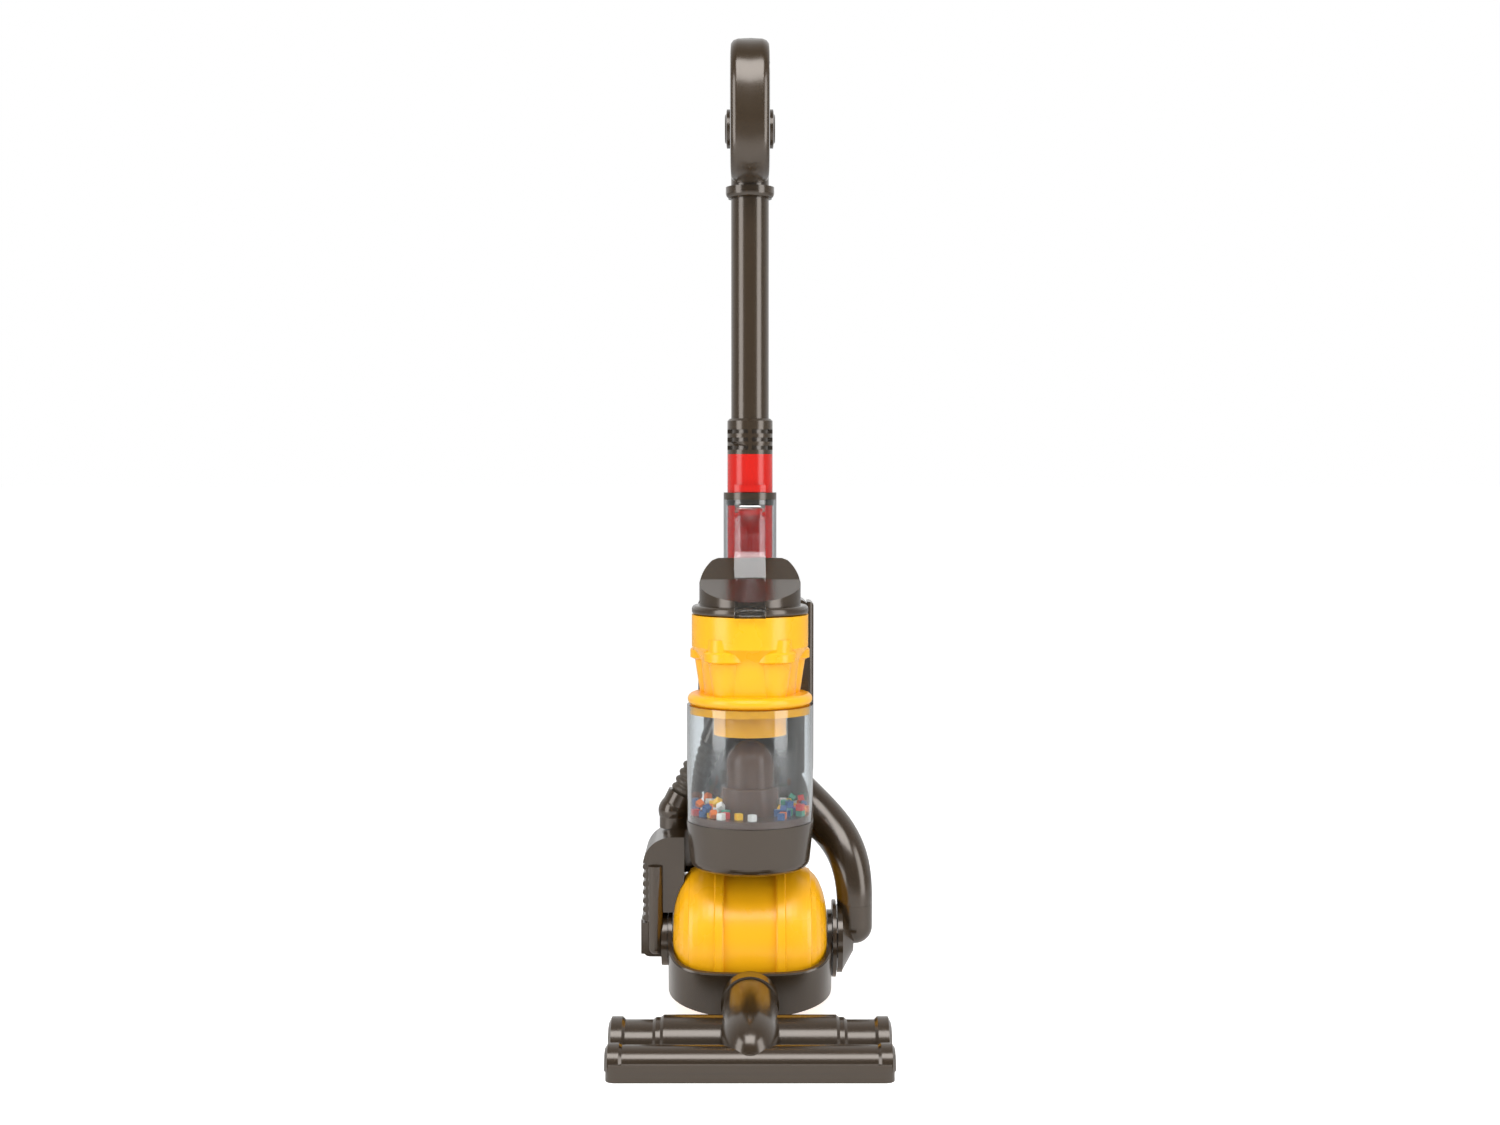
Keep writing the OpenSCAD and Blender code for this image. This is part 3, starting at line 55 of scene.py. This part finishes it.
def srgb(r, g, b):
    """A colour given as it looks on screen, from 0 to 255, as linear values."""
    def linear(c):
        c /= 255
        return c / 12.92 if c <= 0.04045 else ((c + 0.055) / 1.055) ** 2.4
    return (linear(r), linear(g), linear(b), 1.0)


def plastic(name, colour, rough, spread=0.06, grain=900.0, bump=0.02, fleck=0.08, **sockets):
    """A material with a fine grain in its colour and height, and a broad one in its gloss.

    The other sockets of the shader are named with underscores in place of blanks.
    """
    mat = bpy.data.materials.new(name)
    mat.use_nodes = True
    tree = mat.node_tree
    shader = tree.nodes["Principled BSDF"]
    where = tree.nodes.new("ShaderNodeTexCoord")
    fine = tree.nodes.new("ShaderNodeTexNoise")
    fine.inputs["Scale"].default_value = grain
    fine.inputs["Detail"].default_value = FINE_DETAIL
    tree.links.new(where.outputs["Object"], fine.inputs["Vector"])
    broad = tree.nodes.new("ShaderNodeTexNoise")
    broad.inputs["Scale"].default_value = BROAD_SCALE
    broad.inputs["Detail"].default_value = BROAD_DETAIL
    tree.links.new(where.outputs["Object"], broad.inputs["Vector"])
    mix = tree.nodes.new("ShaderNodeMix")
    mix.data_type = "RGBA"
    mix.inputs["A"].default_value = [c * (1 - fleck) for c in colour[:3]] + [1]
    mix.inputs["B"].default_value = [min(1, c * (1 + fleck)) for c in colour[:3]] + [1]
    tree.links.new(fine.outputs["Fac"], mix.inputs["Factor"])
    tree.links.new(mix.outputs["Result"], shader.inputs["Base Color"])
    gloss = tree.nodes.new("ShaderNodeMapRange")
    gloss.inputs["To Min"].default_value = max(0.0, rough - spread)
    gloss.inputs["To Max"].default_value = rough + spread
    tree.links.new(broad.outputs["Fac"], gloss.inputs["Value"])
    tree.links.new(gloss.outputs["Result"], shader.inputs["Roughness"])
    if bump:
        lift = tree.nodes.new("ShaderNodeBump")
        lift.inputs["Strength"].default_value = bump
        lift.inputs["Distance"].default_value = BUMP_DEPTH
        tree.links.new(fine.outputs["Fac"], lift.inputs["Height"])
        tree.links.new(lift.outputs["Normal"], shader.inputs["Normal"])
    for key, value in sockets.items():
        shader.inputs[key.replace("_", " ")].default_value = value
    return mat


materials = {
    "grey_plastic": plastic("grey_satin", srgb(60, 46, 29), 0.23, fleck=0.12, bump=0.012,
                            Metallic=0.35, Specular_IOR_Level=1.0,
                            Coat_Weight=0.35, Coat_Roughness=0.14),
    "dark_plastic": plastic("dark_gloss", srgb(88, 64, 51), 0.2, fleck=0.06),
    "yellow_plastic": plastic("yellow_gloss", srgb(248, 178, 18), 0.28, fleck=0.03),
    "red_plastic": plastic("red_gloss", srgb(196, 27, 18), 0.2, fleck=0.04),
    "clear_plastic": plastic("clear_gloss", srgb(232, 236, 238), 0.04, 0.02, bump=0, fleck=0.01,
                             Transmission_Weight=1.0, IOR=1.49, Specular_IOR_Level=0.12),
    "hose_plastic": plastic("hose_satin", srgb(74, 66, 56), 0.45, fleck=0.1, bump=0.05),
    "steel": plastic("zinc_steel", srgb(196, 198, 200), 0.3, grain=1500, fleck=0.1, Metallic=1.0),
    "cell_case": plastic("cell_wrap", srgb(58, 62, 70), 0.3, Metallic=0.3),
    "bead_red": plastic("bead_red", srgb(222, 60, 62), 0.3, fleck=0.05),
    "bead_yellow": plastic("bead_yellow", srgb(250, 196, 40), 0.3, fleck=0.05),
    "bead_white": plastic("bead_white", srgb(240, 238, 232), 0.3, fleck=0.03),
    "bead_blue": plastic("bead_blue", srgb(52, 96, 150), 0.3, fleck=0.05),
    "bead_green": plastic("bead_green", srgb(64, 168, 140), 0.3, fleck=0.05),
    "bead_orange": plastic("bead_orange", srgb(240, 120, 40), 0.3, fleck=0.05),
}
slot_of = {part["node"]: part["material_slot"] for part in frame["record"]["subparts"]}
for name, node in nodes.items():
    node.data.materials.clear()
    node.data.materials.append(materials[slot_of[name]])

# The CAD meshes come face by face, so the swept pieces are welded, and shaded smooth across
# their narrow facets. Their shapes stay as they are.
SMOOTHED = ("handle_left", "handle_right", "side_duct", "elbow", "yoke", "carry_handle", "cyclone")
SMOOTH_ANGLE = math.radians(32)
WELD_GAP = 0.00002


def smooth_by_angle():
    group = bpy.data.node_groups.new("smooth_by_angle", "GeometryNodeTree")
    for way in ("INPUT", "OUTPUT"):
        group.interface.new_socket("Geometry", in_out=way, socket_type="NodeSocketGeometry")
    drop = group.nodes.new("GeometryNodeRemoveAttribute")
    drop.inputs["Name"].default_value = "custom_normal"
    weld = group.nodes.new("GeometryNodeMergeByDistance")
    weld.inputs["Distance"].default_value = WELD_GAP
    faces = group.nodes.new("GeometryNodeSetShadeSmooth")
    edges = group.nodes.new("GeometryNodeSetShadeSmooth")
    edges.domain = "EDGE"
    angle = group.nodes.new("GeometryNodeInputMeshEdgeAngle")
    narrow = group.nodes.new("FunctionNodeCompare")
    narrow.operation = "LESS_THAN"
    narrow.inputs[1].default_value = SMOOTH_ANGLE
    group.links.new(angle.outputs["Unsigned Angle"], narrow.inputs[0])
    group.links.new(narrow.outputs["Result"], edges.inputs["Shade Smooth"])
    start, end = group.nodes.new("NodeGroupInput"), group.nodes.new("NodeGroupOutput")
    steps = (start, drop, weld, faces, edges, end)
    for one, other in zip(steps, steps[1:]):
        group.links.new(one.outputs["Geometry"], other.inputs["Geometry"])
    return group


shading = smooth_by_angle()
for name in SMOOTHED:
    nodes[name].modifiers.new("shading", "NODES").node_group = shading
    even = nodes[name].modifiers.new("even", "WEIGHTED_NORMAL")
    even.keep_sharp = True


# Pieces that are made here
def add_object(name, data):
    piece = bpy.data.objects.new(name, data)
    scene.collection.objects.link(piece)
    return piece


def add_shape(name, shape):
    """A bmesh as an object. The bmesh is freed."""
    mesh = bpy.data.meshes.new(name)
    shape.to_mesh(mesh)
    shape.free()
    return add_object(name, mesh)


def round_edges(shape, edges, radius, steps):
    bmesh.ops.bevel(shape, geom=edges, offset=radius, segments=steps, profile=0.5,
                    affect="EDGES")


def finish_piece(piece, slot, *stands_for):
    """Every piece made here rides on the body."""
    piece.data.materials.append(materials[slot])
    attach(piece, "body")
    if stands_for:
        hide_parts(*stands_for)


# The hose: rounded ribs along the straight line that the CAD hose follows
HOSE_START = Vector((-0.0481, 0.154, 0.15163))
HOSE_LEAN = math.radians(27)
HOSE_LENGTH = 0.041
HOSE_OUTER = 0.010
HOSE_RIBS = 7
RIB_DEPTH = 0.0016
RIB_POWER = 1.6
RIB_RINGS = 14
HOSE_SIDES = 48


def ribbed_hose():
    way = Vector((math.sin(HOSE_LEAN), 0, math.cos(HOSE_LEAN)))
    across = Vector((0, 1, 0))
    up = way.cross(across)
    rings, sides = HOSE_RIBS * RIB_RINGS, HOSE_SIDES
    verts, faces = [], []
    for i in range(rings + 1):
        share = i / rings
        middle = HOSE_START + way * (HOSE_LENGTH * share)
        groove = (0.5 + 0.5 * math.cos(2 * math.pi * HOSE_RIBS * share)) ** RIB_POWER
        r = HOSE_OUTER - RIB_DEPTH * groove
        for k in range(sides):
            a = 2 * math.pi * k / sides
            verts.append(middle + r * (math.cos(a) * across + math.sin(a) * up))
    for i in range(rings):
        here, there = i * sides, (i + 1) * sides
        for k in range(sides):
            n = (k + 1) % sides
            faces.append((here + k, here + n, there + n, there + k))
    mesh = bpy.data.meshes.new("hose_ribs")
    mesh.from_pydata([tuple(v) for v in verts], [], faces)
    mesh.update()
    for face in mesh.polygons:
        face.use_smooth = True
    return add_object("hose_ribs", mesh)


finish_piece(ribbed_hose(), "hose_plastic", "ribbed_hose")

# The spine and the filter housing reach farther out in the photo than in the CAD. Each slab is
# given by two corners, and by the side on which its edges are rounded: 1 is right, -1 is left.
SLABS = {
    "spine_edge": ((0.0408, 0.1465, 0.168), (0.0453, 0.1735, 0.2905), 1),
    "spine_wing": ((-0.0375, 0.1675, 0.131), (-0.0198, 0.1765, 0.2905), -1),
    "housing_web": ((-0.054, 0.157, 0.0945), (-0.034, 0.165, 0.113), 1),
}
SLAB_ROUND = 0.003
SLAB_ROUND_STEPS = 6


def slab(name, low, high, side):
    low, high = Vector(low), Vector(high)
    middle, size = (low + high) / 2, high - low
    shape = bmesh.new()
    place = Matrix.Translation(middle) @ Matrix.Diagonal((*size, 1))
    bmesh.ops.create_cube(shape, size=1, matrix=place)
    outer = [e for e in shape.edges if all((v.co.x - middle.x) * side > 0 for v in e.verts)]
    round_edges(shape, outer, SLAB_ROUND, SLAB_ROUND_STEPS)
    return add_shape(name, shape)


for name, (low, high, side) in SLABS.items():
    finish_piece(slab(name, low, high, side), "grey_plastic")

# Where beads came to rest round the dome in a settling run in MuJoCo: each has its place in
# millimetres from the middle of the bin floor, then its turn as a quaternion
BIN_FLOOR = Vector((0, 0.098, 0.1485))
BEAD = 0.0045
BEAD_ROUND = 0.00035
BEAD_ROUND_STEPS = 2
MM = 0.001
BEADS = {
    "yellow": (
        (21.4, -9, 3.2, 0.32, -0.43, 0.83, 0.17), (-24.3, -0.4, 2.2, 0.71, -0.71, -0.01, 0.01),
        (-24.9, -5.4, 6.7, -0.26, 0.26, 0.66, -0.66), (-26, -22.2, 2.2, 0.58, 0.41, 0.58, -0.41),
        (35.9, -4.8, 2.2, 0.49, -0.51, 0.49, 0.51), (-7.5, -31.5, 2.2, 0, 0.23, -0.97, 0),
        (19.2, 23.8, 2.2, -0.45, 0.45, -0.55, 0.55), (26.9, 21, 3, -0.3, -0.7, -0.46, 0.45),
        (31.9, 7, 2.5, -0.69, -0.7, 0.06, 0.15), (-21.8, -10.2, 8.7, 0.14, 0.28, -0.85, 0.42),
    ),
    "red": (
        (-16.3, -27.2, 2.2, -0.67, -0.24, -0.67, 0.24), (33.4, -19.6, 6.7, 0.15, 0.15, 0.69, 0.69),
        (-36.3, -14.1, 2.2, 0.41, 0.41, 0.58, 0.58), (12.9, 20.5, 2.2, 0.68, -0.68, 0.2, -0.2),
        (28.9, -0.4, 2.2, 0, -0.72, -0.69, 0), (36.1, 10, 7.4, 0.7, 0.3, 0.55, 0.35),
    ),
    "white": (
        (-19.2, -30.8, 2.2, -0.67, -0.21, -0.67, 0.21),
        (-18.3, 17.6, 2.2, 0.36, 0.61, 0.36, -0.61), (-25.8, 0.3, 6.7, 0.39, 0, 0, -0.92),
        (22.9, 4.6, 6.7, -0.47, -0.53, -0.47, 0.53), (-29.4, 20, 3.2, 0.6, 0.33, 0.3, -0.66),
        (33.4, 19.4, 2.2, 0.35, 0.61, -0.35, 0.61), (24.3, 4.1, 2.2, -0.62, -0.62, -0.33, -0.33),
        (-24.5, -15.9, 3.2, 0.28, -0.34, -0.11, -0.89), (-22.8, 25.2, 2.2, 0.5, -0.5, -0.5, 0.5),
        (-19.9, -13.9, 6.1, 0.42, -0.21, -0.4, -0.79),
        (-31.2, -8.2, 2.2, -0.57, -0.57, 0.42, 0.42), (1.5, -36.2, 2.2, -0.64, -0.3, -0.64, 0.3),
    ),
    "blue": (
        (27, 9.1, 3.9, 0.59, 0.03, 0.52, -0.62), (-36.8, -8, 2.2, -0.96, 0, 0, -0.29),
        (37.8, 5.9, 3.8, -0.49, 0.33, -0.43, -0.68), (-28.6, -25.9, 6.9, 0.42, -0.48, 0.16, 0.75),
        (-31.4, -19.1, 2.2, -0.09, 0.09, 0.7, -0.7), (29.2, -7.4, 2.2, 0, 0.46, -0.89, 0),
        (-38.3, 4.3, 6.7, -0.54, 0.45, -0.54, -0.45), (24.4, 13.7, 2.2, -0.61, 0.37, 0.61, 0.37),
        (-29.9, -1.9, 2.2, -0.68, -0.21, 0.68, -0.21), (26.8, -8.2, 6.7, 0.39, 0.59, -0.39, 0.59),
        (25.2, -18, 2.2, 0.54, 0.46, -0.54, 0.46), (-38.1, 5.7, 2.2, 1, 0, 0, -0.01),
        (22.6, -22.1, 5.4, -0.3, 0.6, -0.7, -0.25), (-38, -1.4, 2.2, -0.83, 0, 0, -0.55),
        (20.8, -31.3, 2.2, 0, -0.62, 0.78, 0), (25.1, -4.6, 2.2, 0.37, 0.37, -0.6, -0.6),
        (18.6, -15.6, 2.2, 0.73, 0, 0, 0.68),
    ),
    "green": (
        (-32.6, 9.3, 2.2, -0.53, -0.53, 0.47, 0.47), (26.6, -13.2, 2.2, -0.64, 0, 0, 0.77),
        (-16.3, -18.5, 2.2, 0.32, 0, 0, 0.95), (23.8, -3.1, 6.7, 0.8, 0, 0, 0.6),
        (33.4, -0.1, 2.2, 0, 1, -0.02, 0), (29.5, 24, 5.7, 0.12, 0.26, -0.26, 0.92),
        (-30.4, -14, 2.2, 0, 1, -0.08, 0), (-28, 9.2, 2.2, -1, 0, 0, -0.06),
        (33.8, -15.3, 2.2, 0.62, -0.34, 0.62, 0.34), (-35.2, 14.1, 2.2, -0.19, -0.19, 0.68, 0.68),
    ),
    "orange": (
        (38.9, 0.8, 2.2, -0.01, -0.71, -0.01, 0.71), (-22.7, -9.1, 2.2, -0.66, 0.24, 0.66, 0.24),
        (-30, 22.9, 6.7, 0.11, -0.28, 0.43, -0.85), (-34.3, -4.9, 6.6, 0.84, -0.35, 0.41, -0.1),
        (22.1, -26.5, 2.2, -0.65, 0, 0, 0.76), (-25.9, 4.6, 2.2, -0.45, -0.55, 0.45, -0.55),
        (34.8, -10.6, 2.2, 0.68, 0.18, 0.68, -0.18), (-27.9, -19.5, 6.7, 0.36, -0.36, 0.61, -0.61),
        (35.2, 12.8, 3.1, 0.88, 0.47, -0.04, -0.08), (-24.4, -27.5, 3.2, -0.68, 0.39, -0.59, 0.18),
    ),
}


def bead_pile(colour, beads):
    shape = bmesh.new()
    for x, y, z, *turn in beads:
        turned = Quaternion(turn).normalized().to_matrix().to_4x4()
        place = Matrix.Translation(BIN_FLOOR + Vector((x, y, z)) * MM) @ turned
        cube = bmesh.ops.create_cube(shape, size=BEAD, matrix=place)
        edges = {e for v in cube["verts"] for e in v.link_edges}
        round_edges(shape, list(edges), BEAD_ROUND, BEAD_ROUND_STEPS)
    return add_shape("pile_" + colour, shape)


for colour, beads in BEADS.items():
    finish_piece(bead_pile(colour, beads), "bead_" + colour, "beads_" + colour)

# Stage: a pale floor, a white room, soft boxes in front at both sides and above, and the camera
FLOOR_HALF = 30
FLOOR_SIGNS = ((-1, -1), (1, -1), (1, 1), (-1, 1))
FLOOR_COLOUR = (0.93, 0.93, 0.93, 1)
FLOOR_GLOW = 0.64
ROOM_LIGHT = 0.4
# Where the room's reflection turns from dark to light, along Y, and how light it is at both ends
ROOM_TURNS = (-0.2, 0.6)
ROOM_SHINE = (0.2, 0.85)
INSIDE_LIGHT = 2.5
# Ray depths are whole numbers, so this tells none from some
HALF_STEP = 0.5


def maths(tree, operation, first, second):
    node = tree.nodes.new("ShaderNodeMath")
    node.operation = operation
    for place, value in enumerate((first, second)):
        if isinstance(value, float):
            node.inputs[place].default_value = value
        else:
            tree.links.new(value, node.inputs[place])
    return node.outputs[0]


def seen_straight(tree, path):
    """1 for what the camera sees, directly or straight through the clear plastic, and else 0."""
    rays = path.outputs
    bounces = maths(tree, "SUBTRACT", rays["Ray Depth"], rays["Transmission Depth"])
    unbounced = maths(tree, "LESS_THAN", bounces, HALF_STEP)
    through = maths(tree, "MULTIPLY", rays["Is Transmission Ray"], unbounced)
    return maths(tree, "MAXIMUM", rays["Is Camera Ray"], through)


def lit_inside(tree, path):
    """1 for light that comes in through the clear plastic to what it holds, and else 0."""
    rays = path.outputs
    landed = maths(tree, "GREATER_THAN", rays["Diffuse Depth"], HALF_STEP)
    return maths(tree, "MULTIPLY", rays["Is Transmission Ray"], landed)


floor_mesh = bpy.data.meshes.new("floor")
corners = [(x * FLOOR_HALF, y * FLOOR_HALF, 0) for x, y in FLOOR_SIGNS]
floor_mesh.from_pydata(corners, [], [(0, 1, 2, 3)])
floor = add_object("floor", floor_mesh)
paper = plastic("floor_paper", FLOOR_COLOUR, 0.9, 0.02, grain=60, bump=0, fleck=0.004,
                Emission_Color=WHITE)
floor.data.materials.append(paper)
# The floor looks white to the camera, without lighting the object more
tree = paper.node_tree
path = tree.nodes.new("ShaderNodeLightPath")
glow = maths(tree, "MULTIPLY", seen_straight(tree, path), FLOOR_GLOW)
tree.links.new(glow, tree.nodes["Principled BSDF"].inputs["Emission Strength"])

world = bpy.data.worlds.new("studio")
scene.world = world
world.use_nodes = True
tree = world.node_tree
back = tree.nodes["Background"]
back.inputs["Color"].default_value = WHITE
back.inputs["Strength"].default_value = ROOM_LIGHT
# Reflections see a white backdrop behind the object, and a darker room in front of it
where = tree.nodes.new("ShaderNodeTexCoord")
axes = tree.nodes.new("ShaderNodeSeparateXYZ")
tree.links.new(where.outputs["Generated"], axes.inputs["Vector"])
shine = tree.nodes.new("ShaderNodeMapRange")
shine.inputs["From Min"].default_value, shine.inputs["From Max"].default_value = ROOM_TURNS
shine.inputs["To Min"].default_value, shine.inputs["To Max"].default_value = ROOM_SHINE
tree.links.new(axes.outputs["Y"], shine.inputs["Value"])
# Lamps reach the inside of the clear bin only dimly, so the room lights it more. The camera sees
# plain white, also through the clear plastic.
path = tree.nodes.new("ShaderNodeLightPath")
views = (
    (path.outputs["Is Glossy Ray"], shine.outputs["Result"]),
    (lit_inside(tree, path), INSIDE_LIGHT),
    (seen_straight(tree, path), 1.0),
)
below = back
for ray, strength in views:
    seen = tree.nodes.new("ShaderNodeBackground")
    seen.inputs["Color"].default_value = WHITE
    if isinstance(strength, float):
        seen.inputs["Strength"].default_value = strength
    else:
        tree.links.new(strength, seen.inputs["Strength"])
    choose = tree.nodes.new("ShaderNodeMixShader")
    tree.links.new(ray, choose.inputs["Fac"])
    tree.links.new(below.outputs[0], choose.inputs[1])
    tree.links.new(seen.outputs["Background"], choose.inputs[2])
    below = choose
tree.links.new(below.outputs[0], tree.nodes["World Output"].inputs["Surface"])


def soft_box(name, place, aim, width, height, power):
    data = bpy.data.lights.new(name, "AREA")
    data.shape = "RECTANGLE"
    data.size = width
    data.size_y = height
    data.energy = power
    lamp = add_object(name, data)
    lamp.location = place
    lamp.rotation_euler = (Vector(aim) - Vector(place)).to_track_quat("-Z", "Y").to_euler()


for name, x in (("box_left", -1.15), ("box_right", 1.15)):
    soft_box(name, (x, -0.6, 0.42), aim=(0, 0.1, 0.25), width=0.65, height=1.6, power=11.5)
soft_box("box_top", (0, -0.75, 1.35), aim=(0, 0.05, 0.2), width=1.2, height=0.7, power=14)

CAMERA_PLACE = (0, -1.29, 0.39)
CAMERA_DOWN = math.radians(2.85)
camera = bpy.data.cameras.new("camera")
camera.lens = 48.6
camera.sensor_width = 36
camera.clip_start = 0.01
eye = add_object("camera", camera)
eye.location = CAMERA_PLACE
eye.rotation_euler = Euler((math.pi / 2 - CAMERA_DOWN, 0, 0))
scene.camera = eye
scene.view_settings.view_transform = "Standard"
